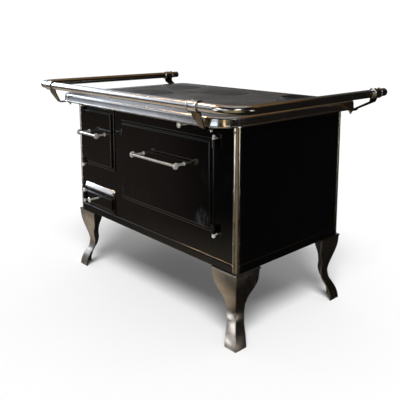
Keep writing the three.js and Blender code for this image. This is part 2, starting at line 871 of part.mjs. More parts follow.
const ovenHingeX = ovenDoor.right + hingeStandOff;
addPiece(
  "oven_door",
  doorShell(ovenDoor, doorOverlap, ovenHingeX, endBarrels(ovenDoor)),
  material.enamel,
);
addPiece("oven_door_liner", doorLiner(ovenDoor, 8), material.sheetSteel);
addPiece("oven_door_handle", barHandle(ovenHandle), material.polished);
addHinges("oven", ovenHingeX, ovenDoor.bottom, ovenDoor.top, 24);

const fireboxHingeX = fireboxDoor.left - hingeStandOff;
addPiece(
  "firebox_door",
  doorShell(fireboxDoor, doorOverlap, fireboxHingeX, endBarrels(fireboxDoor)),
  material.enamel,
);
addPiece("firebox_door_liner", doorLiner(fireboxDoor, 2), material.castIron);
addPiece("firebox_door_handle", barHandle(fireboxHandle), material.polished);
addHinges("firebox", fireboxHingeX, fireboxDoor.bottom, fireboxDoor.top, 24);

const ashBarrel = [323, 354];
addPiece("ash_door", doorShell(ashDoor, 16, fireboxHingeX, [ashBarrel]), material.enamel);
addPiece(
  "ash_door_knob",
  pullKnob(ashKnob.x, handleFront - 4, doorFaceFront - gap, ashKnob.height),
  material.polished,
);
addHinges("ash", fireboxHingeX, ashBarrel[0] - barrelGap, ashBarrel[1] + barrelGap, 14);

// ---- Draught slide and oven damper --------------------------------------------------------------------

// A rounded strip that covers the air slot, with a knob at its right end.
function draughtSlide() {
  const { left, right, bottom, top } = draught;
  const back = doorBack - gap;
  const middle = (bottom + top) / 2;
  const outline = new THREE.Shape();
  outline.moveTo(back, bottom);
  outline.lineTo(back, top);
  outline.lineTo(back - 3, top);
  outline.quadraticCurveTo(back - 12, middle, back - 3, bottom);
  const geometry = new THREE.ExtrudeGeometry(outline, {
    depth: right - left,
    bevelEnabled: false,
    curveSegments: 6,
  });
  geometry.rotateX(Math.PI / 2);
  geometry.rotateZ(Math.PI / 2);
  geometry.translate(left, 0, 0);
  return solidOf(geometry).add(ball(6, [right - 4, back - 11, middle]));
}

// A rod from the knob through the front panel to a plate in the smoke way over the oven.
function ovenDamper() {
  const { x, height } = damper;
  const knobFront = -352;
  const stemFront = knobFront + 17;
  const plate = { front: -120, depth: 100, halfWidth: 60, halfThickness: 1.5 };
  const knob = pullKnob(x, knobFront, stemFront + 5, height);
  const stem = rod(4, [x, stemFront, height], [x, plate.front + 2, height], 10);
  const flap = box(
    x - plate.halfWidth, x + plate.halfWidth, plate.front, plate.front + plate.depth,
    height - plate.halfThickness, height + plate.halfThickness,
  );
  return unionOf([knob, stem, flap]);
}

addPiece("draught_slide", draughtSlide(), material.polished);
addPiece("oven_damper", ovenDamper(), material.polished);

// The origin is the middle of the whole footprint, from the rail's clamps to its end caps.
const clampFront = rail.front - clampRadius;
const capBack = rail.back + gap + rail.capLength;
stove.position.y = -(clampFront + capBack) / 2;

export default stove;
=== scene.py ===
"""The looks of a wood burning cook stove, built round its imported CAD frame.

Sizes are in millimetres, measured as in the CAD part: X and Y from the middle of the casing, Z from the
floor.
"""
import json
import math

import bmesh
import bpy
from mathutils import Matrix, Vector


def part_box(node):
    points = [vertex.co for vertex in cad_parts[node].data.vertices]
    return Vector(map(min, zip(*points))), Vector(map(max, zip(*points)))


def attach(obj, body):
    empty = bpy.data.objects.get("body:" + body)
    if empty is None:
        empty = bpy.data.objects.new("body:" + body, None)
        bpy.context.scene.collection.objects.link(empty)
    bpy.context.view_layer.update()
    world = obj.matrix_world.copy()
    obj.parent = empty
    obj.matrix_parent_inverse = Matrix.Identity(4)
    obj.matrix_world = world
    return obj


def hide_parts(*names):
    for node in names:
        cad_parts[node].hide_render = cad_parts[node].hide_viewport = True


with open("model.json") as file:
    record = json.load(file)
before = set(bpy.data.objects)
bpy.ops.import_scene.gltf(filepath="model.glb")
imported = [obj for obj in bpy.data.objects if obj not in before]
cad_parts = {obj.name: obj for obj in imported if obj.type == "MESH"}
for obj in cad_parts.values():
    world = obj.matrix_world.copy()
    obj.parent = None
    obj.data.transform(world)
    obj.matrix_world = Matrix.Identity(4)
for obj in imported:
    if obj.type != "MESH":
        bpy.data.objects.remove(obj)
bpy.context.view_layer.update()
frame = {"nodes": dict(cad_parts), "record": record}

# ---- Sizes ---------------------------------------------------------------------------------------------

CASING_X = 490
CASING_Y = 289
CASING_BOTTOM = 266
FRONT_FACE = -286
# The clearance between pieces that touch.
GAP = 0.3
# The CAD's origin is the middle of the whole footprint, a little in front of the casing's middle.
SHIFT_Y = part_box("front_panel")[0].y * 1000 - FRONT_FACE

TOP = 798
FRAME_BOTTOM = 764
FRAME_EDGE = {"left": -520, "right": 520, "low": -378, "high": 350, "radii": (100, 100, 40, 40)}
PLATE_EDGE = {"left": -474, "right": 474, "low": -284, "high": 290, "radii": (30, 30, 30, 30)}
PLATE_THICKNESS = 7.7
LEDGE = 9

RAIL = {"radius": 15, "half": 607, "front": -419, "back": 384.3, "height": 834, "bend": 86}

DOOR_BACK = -286.3
DOOR_FACE = -298.3
HINGE_Y = -298.3
HANDLE_Y = -344
OVEN_DOOR = {"left": -155, "right": 384, "low": 386, "high": 711}
FIREBOX_DOOR = {"left": -434, "right": -208, "low": 486, "high": 738}
ASH_DOOR = {"left": -434, "right": -214, "low": 301, "high": 376}
OVEN_HINGE_X = 392
LEFT_HINGE_X = -442
BARREL_RADIUS = 7
PIN_RADIUS = 3
BAR_RADIUS = 5.5

BURNERS = [
    {"name": "burner_back_left", "x": -312, "y": 176, "radii": [82, 50]},
    {"name": "burner_front_left", "x": -236, "y": -72, "radii": [96, 60]},
    {"name": "burner_centre", "x": -8, "y": 150, "radii": [106, 78, 50]},
]
FLUE = {"x": 368, "y": 168, "bore": 60, "flange": 90, "height": 14.3}

# ---- Mesh tools ----------------------------------------------------------------------------------------


def rounded(left, right, low, high, radii, inset=0.0, steps=10):
    """A rectangle's outline, anticlockwise from its lower left corner, moved in by an inset."""
    corners = [(left, low, 1, 1), (right, low, -1, 1), (right, high, -1, -1), (left, high, 1, -1)]
    points = []
    for i, (x, y, inward_x, inward_y) in enumerate(corners):
        radius = max(radii[i] - inset, 0.3)
        centre_x = x + inward_x * (inset + radius)
        centre_y = y + inward_y * (inset + radius)
        for step in range(steps + 1):
            angle = math.pi + (i + step / steps) * math.pi / 2
            points.append((centre_x + radius * math.cos(angle), centre_y + radius * math.sin(angle)))
    return points


def lying(outline, z):
    return [Vector((x, y, z)) for x, y in outline]


def facing(outline, y):
    return [Vector((x, y, z)) for x, z in outline]


def sideways(outline, x):
    return [Vector((x, y, z)) for y, z in outline]


def loft(rings, closed=False):
    """Vertices and faces of a skin over rings of equally many points, capped unless closed on itself."""
    count = len(rings[0])
    vertices = [point for ring in rings for point in ring]
    faces = []
    for i in range(len(rings) if closed else len(rings) - 1):
        near, far = i * count, (i + 1) % len(rings) * count
        for j in range(count):
            k = (j + 1) % count
            faces.append((near + j, near + k, far + k, far + j))
    if not closed:
        faces.append(tuple(range(count))[::-1])
        faces.append(tuple(range(len(rings) * count - count, len(rings) * count)))
    return vertices, faces


def turned(profile, origin, axis, sides=40, closed=False):
    """A turned solid from (radius, station) pairs along an axis."""
    axis = Vector(axis).normalized()
    across = axis.orthogonal().normalized()
    other = axis.cross(across)
    rings = []
    for radius, station in profile:
        centre = Vector(origin) + axis * station
        turns = [2 * math.pi * i / sides for i in range(sides)]
        size = max(radius, 0.02)
        rings.append([centre + across * (size * math.cos(t)) + other * (size * math.sin(t)) for t in turns])
    return loft(rings, closed)


def ball(centre, radius, axis=(0, 0, 1), sides=28, steps=14):
    angles = [math.pi * i / steps for i in range(steps + 1)]
    profile = [(radius * math.sin(a), -radius * math.cos(a)) for a in angles]
    return turned(profile, centre, axis, sides)


def block(low, high, edge=0.8):
    """A box with softened upright and level edges."""
    left, front, bottom = low
    right, back, top = high
    outline = (left, right, front, back, (edge * 1.5,) * 4)
    rings = [
        lying(rounded(*outline, inset=edge, steps=3), bottom),
        lying(rounded(*outline, steps=3), bottom + edge),
        lying(rounded(*outline, steps=3), top - edge),
        lying(rounded(*outline, inset=edge, steps=3), top),
    ]
    return loft(rings)


def circle(x, y, radius, count=96):
    turns = [2 * math.pi * i / count for i in range(count)]
    return [(x + radius * math.cos(t), y + radius * math.sin(t)) for t in turns]


def flat_plate(outline, holes, bottom, top, edge=0.4):
    """A plate with holes and softened edges, from a filled 2D curve."""
    curve = bpy.data.curves.new("outline", "CURVE")
    curve.dimensions = "2D"
    curve.fill_mode = "BOTH"
    for points in [outline, *holes]:
        spline = curve.splines.new("POLY")
        spline.points.add(len(points) - 1)
        spline.use_cyclic_u = True
        for target, (x, y) in zip(spline.points, points):
            target.co = (x, y, 0, 1)
    curve.extrude = (top - bottom) / 2 - edge
    curve.bevel_depth = edge
    curve.bevel_resolution = 2
    curve.offset = -edge
    shape = bpy.data.objects.new("outline", curve)
    bpy.context.scene.collection.objects.link(shape)
    graph = bpy.context.evaluated_depsgraph_get()
    mesh = bpy.data.meshes.new_from_object(shape.evaluated_get(graph))
    lift = Vector((0, 0, (top + bottom) / 2))
    vertices = [vertex.co + lift for vertex in mesh.vertices]
    faces = [tuple(polygon.vertices) for polygon in mesh.polygons]
    bpy.data.objects.remove(shape)
    bpy.data.curves.remove(curve)
    bpy.data.meshes.remove(mesh)
    return vertices, faces


def moved(part, matrix):
    vertices, faces = part
    return [matrix @ vertex for vertex in vertices], faces


def mirrored(part, x=1, y=1):
    """A part mirrored across the casing's middle planes."""
    return moved(part, Matrix.Diagonal((x, y, 1, 1)))


def to_row(point):
    return Vector((point.x, point.y + SHIFT_Y, point.z)) / 1000


def piece(name, parts, material, body="stove", replaces=(), smooth=40, inner=None):
    """One mesh object out of several closed skins, on its body, in place of CAD nodes.

    Faces that look toward the stove's middle can have an inner material of their own, which serves as painted
    shade where those faces look into the stove's shadow.
    """
    vertices, faces = [], []
    for part_vertices, part_faces in parts:
        start = len(vertices)
        vertices += [to_row(vertex) for vertex in part_vertices]
        faces += [tuple(start + i for i in face) for face in part_faces]
    mesh = bpy.data.meshes.new(name)
    mesh.from_pydata(vertices, [], faces)
    shape = bmesh.new()
    shape.from_mesh(mesh)
    bmesh.ops.remove_doubles(shape, verts=shape.verts, dist=1e-6)
    bmesh.ops.recalc_face_normals(shape, faces=shape.faces)
    shape.to_mesh(mesh)
    shape.free()
    mesh.shade_smooth()
    mesh.set_sharp_from_angle(angle=math.radians(smooth))
    mesh.materials.append(MATERIALS[material])
    if inner:
        mesh.materials.append(MATERIALS[inner])
        for face in mesh.polygons:
            face.material_index = int(face.normal.xy.dot(face.center.xy) < 0)
    made = bpy.data.objects.new(name, mesh)
    bpy.context.scene.collection.objects.link(made)
    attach(made, body)
    if replaces:
        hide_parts(*replaces)
    return made


# ---- Materials -----------------------------------------------------------------------------------------


class Nodes:
    """A short way to write a material's node tree."""

    def __init__(self, name):
        self.material = bpy.data.materials.new(name)
        self.material.use_nodes = True
        self.tree = self.material.node_tree
        self.shader = self.tree.nodes["Principled BSDF"]
        self.place = self.tree.nodes.new("ShaderNodeTexCoord").outputs["Object"]

    def link(self, source, target):
        self.tree.links.new(source, target)

    def scaled(self, factors):
        mapping = self.tree.nodes.new("ShaderNodeMapping")
        mapping.inputs["Scale"].default_value = factors
        self.link(self.place, mapping.inputs["Vector"])
        return mapping.outputs["Vector"]

    def noise(self, scale, detail=3.0, roughness=0.5, stretch=None, distortion=0.0):
        node = self.tree.nodes.new("ShaderNodeTexNoise")
        node.inputs["Scale"].default_value = scale
        node.inputs["Detail"].default_value = detail
        node.inputs["Roughness"].default_value = roughness
        node.inputs["Distortion"].default_value = distortion
        self.link(self.scaled(stretch) if stretch else self.place, node.inputs["Vector"])
        return node.outputs["Fac"]

    def spread(self, value, low, high, to_low=0.0, to_high=1.0):
        node = self.tree.nodes.new("ShaderNodeMapRange")
        node.interpolation_type = "SMOOTHSTEP"
        for name, number in zip(("From Min", "From Max", "To Min", "To Max"), (low, high, to_low, to_high)):
            node.inputs[name].default_value = number
        self.link(value, node.inputs["Value"])
        return node.outputs["Result"]

    def math(self, operation, first, second):
        node = self.tree.nodes.new("ShaderNodeMath")
        node.operation = operation
        for socket, value in zip(node.inputs, (first, second)):
            if isinstance(value, (int, float)):
                socket.default_value = value
            else:
                self.link(value, socket)
        return node.outputs[0]

    def mix(self, factor, first, second):
        node = self.tree.nodes.new("ShaderNodeMix")
        node.data_type = "RGBA"
        self.link(factor, node.inputs[0])
        for socket, colour in zip((node.inputs[6], node.inputs[7]), (first, second)):
            if isinstance(colour, tuple):
                socket.default_value = (*colour, 1)
            else:
                self.link(colour, socket)
        return node.outputs[2]

    def near(self, centre, radius, soft):
        """1 within a radius of a place in the object, falling to 0."""
        node = self.tree.nodes.new("ShaderNodeVectorMath")
        node.operation = "DISTANCE"
        self.link(self.place, node.inputs[0])
        node.inputs[1].default_value = centre
        return self.spread(node.outputs["Value"], radius, radius + soft, 1.0, 0.0)

    def bump(self, height, distance, strength=1.0):
        node = self.tree.nodes.new("ShaderNodeBump")
        node.inputs["Distance"].default_value = distance
        node.inputs["Strength"].default_value = strength
        self.link(height, node.inputs["Height"])
        self.link(node.outputs["Normal"], self.shader.inputs["Normal"])

    def set(self, **values):
        for name, value in values.items():
            socket = self.shader.inputs[name.replace("_", " ")]
            if isinstance(value, (int, float)):
                socket.default_value = value
            elif isinstance(value, tuple):
                socket.default_value = (*value, 1)
            else:
                self.link(value, socket)


def enamel(name, smudge=None):
    """Black vitreous enamel: a deep gloss with a faint waviness, thin dust and wiping marks."""
    n = Nodes(name)
    cloud = n.noise(5.0, 4.0, 0.6)
    wiped = n.noise(22.0, 5.0, 0.65, stretch=(1.0, 1.0, 0.35), distortion=0.6)
    haze = n.math("MULTIPLY", n.spread(cloud, 0.42, 0.72), n.spread(wiped, 0.45, 0.75))
    if smudge:
        mark = n.math("MULTIPLY", n.near(smudge, 0.01, 0.036), n.spread(wiped, 0.38, 0.62))
        haze = n.math("MAXIMUM", n.math("MULTIPLY", haze, 0.12), mark)
        colour = n.mix(haze, (0.0011, 0.0011, 0.0013), (0.035, 0.036, 0.042))
    else:
        colour = n.mix(haze, (0.0011, 0.0011, 0.0013), (0.0036, 0.0034, 0.0034))
    n.set(Base_Color=colour, Roughness=n.spread(haze, 0.0, 1.0, 0.06, 0.2), IOR=1.52)
    n.bump(n.noise(120.0, 2.0, 0.5), 0.0001, 0.35)
    return n.material


def polished_steel(name):
    """Bright steel with fine polishing lines and slight heat tint."""
    n = Nodes(name)
    cloud = n.noise(9.0, 4.0, 0.6)
    lines = n.noise(60.0, 3.0, 0.6, stretch=(1.0, 1.0, 14.0))
    colour = n.mix(n.spread(cloud, 0.35, 0.7), (0.74, 0.73, 0.71), (0.62, 0.585, 0.53))
    rough = n.math("ADD", n.spread(lines, 0.3, 0.7, 0.0, 0.05), n.spread(cloud, 0.4, 0.75, 0.12, 0.2))
    n.set(Base_Color=colour, Roughness=rough, Metallic=1.0)
    n.bump(n.noise(260.0, 2.0, 0.5), 0.00006, 0.3)
    return n.material


def satin_nickel(name):
    """Handled nickel with a brushed, slightly milky surface."""
    n = Nodes(name)
    cloud = n.noise(40.0, 4.0, 0.6)
    colour = n.mix(n.spread(cloud, 0.35, 0.7), (0.86, 0.83, 0.78), (0.72, 0.68, 0.61))
    n.set(Base_Color=colour, Roughness=n.spread(cloud, 0.3, 0.75, 0.14, 0.26), Metallic=0.6)
    n.bump(n.noise(300.0, 3.0, 0.6, stretch=(1.0, 6.0, 1.0)), 0.00008, 0.4)
    return n.material


def dark_bronze(name):
    """Steel straps browned by heat."""
    n = Nodes(name)
    cloud = n.noise(24.0, 5.0, 0.6)
    colour = n.mix(n.spread(cloud, 0.35, 0.7), (0.075, 0.06, 0.045), (0.17, 0.13, 0.085))
    n.set(Base_Color=colour, Roughness=n.spread(cloud, 0.3, 0.75, 0.16, 0.32), Metallic=1.0)
    n.bump(n.noise(180.0, 3.0, 0.6), 0.0001, 0.4)
    return n.material


def nickel(name, rough):
    """Worn nickel plate: warm, a little uneven, with brown tarnish in patches."""
    n = Nodes(name)
    patches = n.noise(11.0, 5.0, 0.62, distortion=0.4)
    fine = n.noise(90.0, 4.0, 0.6)
    plate = n.mix(n.spread(fine, 0.3, 0.7), (0.55, 0.505, 0.45), (0.48, 0.435, 0.38))
    colour = n.mix(n.spread(patches, 0.5, 0.74, 0.0, 0.6), plate, (0.29, 0.24, 0.165))
    n.set(Base_Color=colour, Roughness=n.spread(patches, 0.35, 0.75, rough, rough + 0.14), Metallic=1.0)
    n.bump(n.noise(30.0, 2.0, 0.5), 0.0003, 0.15)
    return n.material


def cast_iron(name, shade, rough):
    """Ground cast iron, blackened and burnished by use, with a fine grain."""
    n = Nodes(name)
    stains = n.noise(7.0, 5.0, 0.62, distortion=0.5)
    grain = n.noise(420.0, 3.0, 0.7)
    dark = tuple(shade * tint for tint in (1.0, 0.98, 0.92))
    light = tuple(shade * tint for tint in (1.75, 1.7, 1.58))
    colour = n.mix(n.spread(stains, 0.35, 0.72), dark, light)
    n.set(Base_Color=colour, Roughness=n.spread(stains, 0.3, 0.75, rough, rough - 0.14), Metallic=0.35)
    n.bump(n.math("ADD", grain, n.math("MULTIPLY", stains, 0.6)), 0.00025, 0.5)
    return n.material


def sheet_steel(name):
    """Plain sheet that heat and soot have darkened."""
    n = Nodes(name)
    soot = n.noise(8.0, 6.0, 0.65)
    colour = n.mix(n.spread(soot, 0.35, 0.65), (0.12, 0.115, 0.11), (0.028, 0.026, 0.025))
    n.set(Base_Color=colour, Roughness=n.spread(soot, 0.35, 0.7, 0.38, 0.7), Metallic=0.8)
    n.bump(n.noise(150.0, 3.0, 0.6), 0.0002, 0.4)
    return n.material


def firebrick(name):
    n = Nodes(name)
    clay = n.noise(30.0, 6.0, 0.65)
    pits = n.noise(160.0, 4.0, 0.7)
    colour = n.mix(n.spread(clay, 0.35, 0.68), (0.36, 0.24, 0.14), (0.13, 0.095, 0.07))
    n.set(Base_Color=colour, Roughness=0.92)
    n.bump(n.math("ADD", pits, clay), 0.0012, 0.7)
    return n.material


MATERIALS = {
    "enamel": enamel("black_enamel"),
    "enamel_marked": enamel("black_enamel_marked", smudge=(0.335, -0.275, 0.425)),
    "steel": polished_steel("polished_steel"),
    "satin": satin_nickel("satin_nickel"),
    "bronze": dark_bronze("dark_bronze"),
    "nickel": nickel("worn_nickel", 0.27),
    "post_nickel": nickel("bright_nickel", 0.13),
    "plate_iron": cast_iron("cooktop_iron", 0.055, 0.56),
    "ring_iron": cast_iron("burner_iron", 0.024, 0.7),
    "sheet": sheet_steel("dark_sheet_steel"),
    "brick": firebrick("firebrick"),
}

# ---- Casing --------------------------------------------------------------------------------------------

POST_RADIUS = 14
POST_WALL = 3
POST_TOP = 785


def quarter_turn(steps):
    """Angles from 0 to 90 degrees."""
    return [math.pi / 2 * i / steps for i in range(steps + 1)]


# A rounded angle seen from above, its corner at the origin, with its flanges along the casing's two faces.
POST_INSIDE = POST_RADIUS - POST_WALL
POST_OUTLINE = [
    *[(POST_RADIUS * (1 - math.sin(t)), POST_RADIUS * (1 - math.cos(t))) for t in quarter_turn(14)],
    (0, 17.8), (0.6, 18.8), (POST_WALL, 19), (POST_WALL, POST_RADIUS),
    *[(POST_RADIUS - POST_INSIDE * math.cos(t), POST_RADIUS - POST_INSIDE * math.sin(t))
      for t in quarter_turn(10)],
    (19, POST_WALL), (18.8, 0.6), (17.8, 0),
]
SCREW_INSET = 14.6
SCREW_HEIGHTS = (293, 372, 548, 742)


def corner_post():
    outline = [(x - CASING_X, y - CASING_Y) for x, y in POST_OUTLINE]
    return loft([lying(outline, z) for z in (CASING_BOTTOM, POST_TOP)])


def post_screws():
    """Round-headed screws on both faces of a post."""
    head = [(4.2, 0), (4.2, 0.6), (3.6, 1.6), (2.2, 2.4), (0, 2.7)]
    screws = []
    for z in SCREW_HEIGHTS:
        screws.append(turned(head, (SCREW_INSET - CASING_X, -CASING_Y, z), (0, -1, 0), 20))
        screws.append(turned(head, (-CASING_X, SCREW_INSET - CASING_Y, z), (-1, 0, 0), 20))
    return screws


def moulding(from_end, to_end, outward):
    """A straight bar of the plinth along X, its front at y = 0 facing -Y; outward turns it into place."""
    profile = [
        (22, 266), (1.2, 266), (0, 267.5), (0, 268.2), (0, 291), (0, 291.8), (0.3, 293), (1.2, 294.4),
        (6.9, 298.5), (9, 299), (22, 299),
    ]
    return moved(loft([sideways(profile, x) for x in (from_end, to_end)]), outward)


SIDES = [(-1, "left"), (1, "right")]
ENDS = [(-1, "front"), (1, "back")]

for side_x, word_x in SIDES:
    for side_y, word_y in ENDS:
        post = [mirrored(part, -side_x, -side_y) for part in (corner_post(), *post_screws())]
        name = f"corner_post_{word_y}_{word_x}"
        piece(f"{name}_bar", post, "post_nickel", replaces=(name,))

POST_FLANGE = 19
plinth_bars = []
for quarter in range(4):
    half, stand = (CASING_X, CASING_Y) if quarter % 2 == 0 else (CASING_Y, CASING_X)
    reach = half - POST_FLANGE - GAP
    outward = Matrix.Rotation(math.radians(90 * quarter), 4, "Z") @ Matrix.Translation((0, -stand, 0))
    plinth_bars.append(moulding(-reach, reach, outward))
piece("plinth_moulding", plinth_bars, "enamel", replaces=("plinth",))

# ---- Legs ----------------------------------------------------------------------------------------------

# Each row is a height, how far the corner edge stands outside the casing's corner, and a flange's width.
LEG_STATIONS = [
    (262, 4, 116), (240, 3, 114), (217, 0, 108), (192, -6, 90), (168, -13, 66), (142, -20, 50),
    (116, -24, 45), (88, -20, 43), (66, -10, 45), (46, -1, 49), (22, 6, 52), (0, 9, 54),
]
LEG_WALL = 6


def smooth_stations(stations, steps):
    """Catmull-Rom points through rows of numbers."""
    points = []
    last = len(stations) - 1
    for i in range(last):
        before, start, end, after = (Vector(stations[min(max(k, 0), last)]) for k in (i - 1, i, i + 1, i + 2))
        for step in range(steps):
            t = step / steps
            points.append(
                0.5 * (2 * start + (end - before) * t + (2 * before - 5 * start + 4 * end - after) * t * t
                       + (3 * start - before - 3 * end + after) * t ** 3)
            )
    return [*points, Vector(stations[last])]


def leg_section(out, width):
    """An angle's outline, its outer corner at (-out, -out), with softened edges."""
    near, far, edge = -out, width - out, 1.3
    return [
        (near + edge, near), (near + 0.35 * edge, near + 0.35 * edge), (near, near + edge),
        (near, far - edge), (near + edge, far), (near + LEG_WALL - edge, far), (near + LEG_WALL, far - edge),
        (near + LEG_WALL, near + LEG_WALL),
        (far - edge, near + LEG_WALL), (far, near + LEG_WALL - edge), (far, near + edge), (far - edge, near),
    ]


def leg():
    rings = []
    for height, out, width in smooth_stations(LEG_STATIONS, 6):
        outline = [(x - CASING_X, y - CASING_Y) for x, y in leg_section(out, width)]
        rings.append(lying(outline, height))
    lip_outline = [(-6, -6), (116, -6), (116, 14), (14, 116), (-6, 116)]
    lip = [(x - CASING_X, y - CASING_Y) for x, y in lip_outline]
    shrunk = [(x * 0.997 - 1.3, y * 0.996 - 1.0) for x, y in lip]
    plate = loft([lying(shrunk, 260.6), lying(lip, 261.6), lying(lip, 264.8), lying(shrunk, 265.6)])
    return [loft(rings), plate]


for side_x, word_x in SIDES:
    for side_y, word_y in ENDS:
        name = f"leg_{word_y}_{word_x}"
        parts = [mirrored(part, -side_x, -side_y) for part in leg()]
        # The legs' inner faces take the dark burner iron: partly the casting's unplated inside, partly
        # painted shade for faces that look into the shadow under the stove.
        piece(f"{name}_casting", parts, "nickel", replaces=(name,), inner="ring_iron")

# ---- Top frame and cooktop -----------------------------------------------------------------------------

# The frame's section, from the inside of the fascia round to the underside, as insets and heights.
FASCIA = [
    (5, 764), (1.2, 764), (0.2, 765), (0, 766.4), (0.3, 768.2), (1.3, 769.4), (1.7, 770.6),
    (2.6, 788), (3.0, 791), (4.2, 794), (6.4, 796.4), (9.4, 797.7), (13, 798),
]
INNER_STEP = [(-1.0, 798), (-0.3, 797.5), (-0.3, 790), (9, 790), (9, 786)]

frame_rings = [lying(rounded(**FRAME_EDGE, inset=inset, steps=16), z) for inset, z in FASCIA]
frame_rings += [lying(rounded(**PLATE_EDGE, inset=inset, steps=16), z) for inset, z in INNER_STEP]
frame_rings.append(lying(rounded(**FRAME_EDGE, inset=5, steps=16), 786))
piece("top_frame_casting", [loft(frame_rings, closed=True)], "steel", replaces=("top_frame",), smooth=30)

STEP_HEIGHT = 794.1
plate_outline = rounded(**PLATE_EDGE, inset=GAP, steps=12)
wide_holes = [circle(b["x"], b["y"], b["radii"][0]) for b in BURNERS]
narrow_holes = [circle(b["x"], b["y"], b["radii"][0] - LEDGE) for b in BURNERS]
flue_hole = circle(FLUE["x"], FLUE["y"], FLUE["bore"] + 2)
plate_parts = [
    flat_plate(plate_outline, [*wide_holes, flue_hole], STEP_HEIGHT - 0.4, TOP),
    flat_plate(plate_outline, [*narrow_holes, flue_hole], TOP - PLATE_THICKNESS, STEP_HEIGHT, 0.1),
]
piece("cooktop_casting", plate_parts, "plate_iron", replaces=("cooktop_plate",))


def slot_outline(x, y, radius):
    """The lifter's slot in a lid."""
    end = x + radius - LEDGE - 8
    return rounded(end - 24, end, y - 4, y + 4, (3.9,) * 4, steps=6)


def burner_piece(name, x, y, radius, inner):
    """A stepped ring, or a lid with a lifter's slot when there is nothing inside it."""
    clear = 1.5
    upper_holes = [circle(x, y, inner)] if inner else [slot_outline(x, y, radius)]
    lower_holes = [circle(x, y, inner - LEDGE)] if inner else []
    underside = TOP - PLATE_THICKNESS
    parts = [
        flat_plate(circle(x, y, radius - clear), upper_holes, STEP_HEIGHT + 0.3, TOP, 1.1),
        flat_plate(circle(x, y, radius - LEDGE - clear), lower_holes, underside, STEP_HEIGHT + 0.6, 0.1),
    ]
    piece(f"{name}_casting", parts, "ring_iron", body=name, replaces=(name,))


for burner in BURNERS:
    radii = burner["radii"]
    titles = ["outer_ring", "inner_ring"][: len(radii) - 1] + ["lid"]
    for title, radius, inner in zip(titles, radii, [*radii[1:], None]):
        burner_piece(f"{burner['name']}_{title}", burner["x"], burner["y"], radius, inner)

collar_profile = [
    (FLUE["bore"], 0), (FLUE["flange"], 0), (FLUE["flange"], 3.5), (FLUE["flange"] - 1.6, 5),
    (FLUE["bore"] + 8, 5), (FLUE["bore"] + 5.5, 6.5), (FLUE["bore"] + 5, 9),
    (FLUE["bore"] + 5, FLUE["height"] - 1.3), (FLUE["bore"] + 4, FLUE["height"] - 0.3),
    (FLUE["bore"] + 1, FLUE["height"] - 0.3), (FLUE["bore"], FLUE["height"] - 1.3),
]
collar = turned(collar_profile, (FLUE["x"], FLUE["y"], TOP + GAP), (0, 0, 1), 80, closed=True)
piece("flue_collar_casting", [collar], "ring_iron", replaces=("flue_collar",))

# ---- Towel rail ----------------------------------------------------------------------------------------

CLAMP_HALF = 23
STRAP_HALF = 2.5


def rail_path():
    """Points along the tube with its radius at each: two rounded ends and two bends."""
    radius, half, height, bend = (RAIL[key] for key in ("radius", "half", "height", "bend"))
    cap = [(0.3, 0), (8, 0.2), (12, 1.2), (14.2, 2.8), (radius, 5.2)]
    stations = [(Vector((-half, RAIL["back"] - along, height)), size) for size, along in cap]
    for side in (-1, 1):
        centre = Vector((side * (half - bend), RAIL["front"] + bend, height))
        start = math.pi if side < 0 else math.pi * 1.5
        for i in range(25):
            turn = start + math.pi / 2 * i / 24
            stations.append((centre + Vector((math.cos(turn), math.sin(turn), 0)) * bend, radius))
    stations += [(Vector((half, RAIL["back"] - along, height)), size) for size, along in reversed(cap)]
    return stations


def rail_tube():
    stations = rail_path()
    last = len(stations) - 1
    rings = []
    for i, (centre, size) in enumerate(stations):
        along = (stations[min(i + 1, last)][0] - stations[max(i - 1, 0)][0]).normalized()
        across = Vector((along.y, -along.x, 0))
        turns = [2 * math.pi * k / 40 for k in range(40)]
        rings.append([centre + (across * math.cos(t) + Vector((0, 0, math.sin(t)))) * size for t in turns])
    return loft(rings)


def strap(reach, tab):
    """A bracket's strap for a rail along X at the origin: wide at the tube, narrow under the frame."""
    drop = FRAME_BOTTOM - GAP - STRAP_HALF - RAIL["height"]
    # Each row is a distance inward, a height from the tube's middle and half the strap's width.
    line = [
        (2, -13, CLAMP_HALF), (4.6, -19, CLAMP_HALF), (9, -32, 21.5),
        (reach - 12, drop + 9, 13), (reach - 8, drop + 3, 11.5), (reach - 3, drop + 0.4, 11),
        (reach + 3, drop, 11), (reach + tab - 6, drop, 11), (reach + tab, drop, 7),
    ]
    rings = []
    for i, (y, z, half) in enumerate(line):
        ahead = Vector(line[min(i + 1, len(line) - 1)][:2])
        behind = Vector(line[max(i - 1, 0)][:2])
        along = (ahead - behind).normalized()
        normal = Vector((0, -along.y, along.x))
        section = [
            (-half, -1.6), (-half + 1, -STRAP_HALF), (half - 1, -STRAP_HALF), (half, -1.6),
            (half, 1.6), (half - 1, STRAP_HALF), (-half + 1, STRAP_HALF), (-half, 1.6),
        ]
        rings.append([Vector((x, y, z)) + normal * up for x, up in section])
    return loft(rings)


def clamp():
    """A band round the tube, with a rolled edge at each side."""
    edge = [
        (15.1, CLAMP_HALF), (18.2, CLAMP_HALF), (19.7, 22.2), (20, 20.5), (19.4, 19), (18.2, 18.2), (18, 16),
    ]
    profile = [(radius, -station) for radius, station in edge] + edge[::-1]
    return turned(profile, (0, 0, 0), (1, 0, 0), 48, closed=True)


def clamp_screw():
    """The domed screw at the top of a clamp, leaning inward."""
    head = [(5, 0), (5, 1), (4.2, 2.4), (2.4, 3.4), (0, 3.8)]
    return turned(head, (-14, 6.5, 15.9), (0, 0.4, 1), 24)


def bolt(place):
    """A stud from the frame's flat top with a hexagon nut under the tab."""
    nut_top = FRAME_BOTTOM - 2 * STRAP_HALF - 2 * GAP
    wide = circle(*place, 8, 6)
    narrow = circle(*place, 8 * 0.86, 6)
    outlines = [(narrow, 7), (wide, 6), (wide, 1), (narrow, 0)]
    nut = loft([lying(outline, nut_top - down) for outline, down in outlines])
    stud = turned([(3.2, 0), (4, 0.8), (4, 38.5)], (*place, nut_top - 13), (0, 0, 1), 20)
    return [nut, stud]


